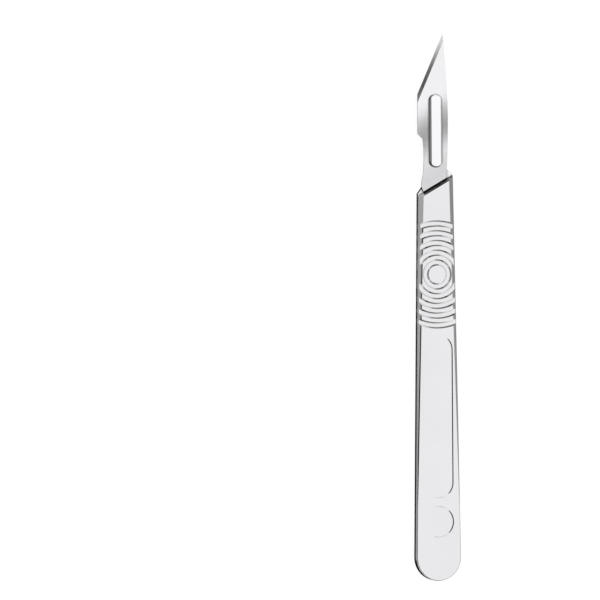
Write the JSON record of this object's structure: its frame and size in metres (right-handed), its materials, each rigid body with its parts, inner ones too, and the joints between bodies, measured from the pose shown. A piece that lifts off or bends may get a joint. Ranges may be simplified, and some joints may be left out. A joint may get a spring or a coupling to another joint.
{
  "type": "scalpel handle",
  "caption": "Flat tapered steel scalpel handle with ringed grip, diagonal shoulder and grooved bar, holding a slotted straight-edged blade.",
  "frame": {"origin": "middle of the whole part's box in X and Y, on the flat back face that it lies on", "axes": "+Y along the handle from the round tail to the blade's point, +Z out of the front face, +X across the handle towards the blade's blunt spine"},
  "size_m": [0.012, 0.1406, 0.0025],
  "materials": {
    "handle_steel": "polished stainless steel, softly bright",
    "blade_steel": "rolled and ground steel strip with a fine lengthwise brush"
  },
  "bodies": {
    "root": {"handle": "handle_steel", "blade": "blade_steel"}
  },
  "joints": []
}
